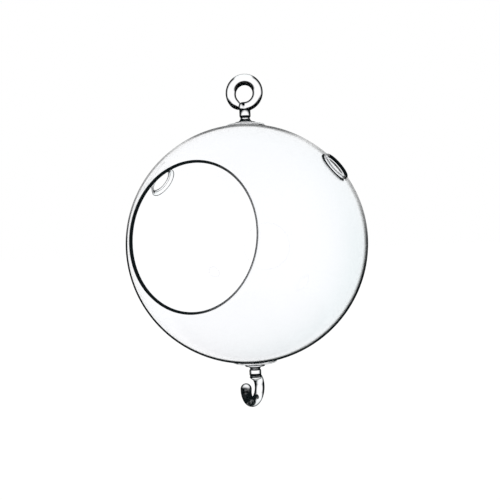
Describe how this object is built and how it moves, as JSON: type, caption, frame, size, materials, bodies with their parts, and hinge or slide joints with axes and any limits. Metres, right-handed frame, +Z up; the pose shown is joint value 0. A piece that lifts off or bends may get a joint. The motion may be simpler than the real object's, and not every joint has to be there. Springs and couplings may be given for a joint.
{
  "type": "hanging glass terrarium",
  "caption": "Clear blown glass globe with a round planting opening, small air vents high on its sides, a glass ring on top to hang it by and a glass hook below for another globe.",
  "frame": {"origin": "inside crown of the ring's eye, where the thing that it hangs from bears", "axes": "+Z up along the line of the ring, stems and hook; the planting opening faces -Y; the vents are high on the +X and -X sides"},
  "size_m": [0.12, 0.1118, 0.1671],
  "materials": {
    "blown_glass": "clear, fire-polished",
    "worked_glass": "clear, fire-polished"
  },
  "bodies": {
    "root": {"globe": "blown_glass", "top_pad": "worked_glass", "top_collar": "worked_glass", "loop_stem": "worked_glass", "hanging_ring": "worked_glass", "bottom_pad": "worked_glass", "bottom_collar": "worked_glass", "hook_stem": "worked_glass", "bottom_hook": "worked_glass"}
  },
  "joints": []
}
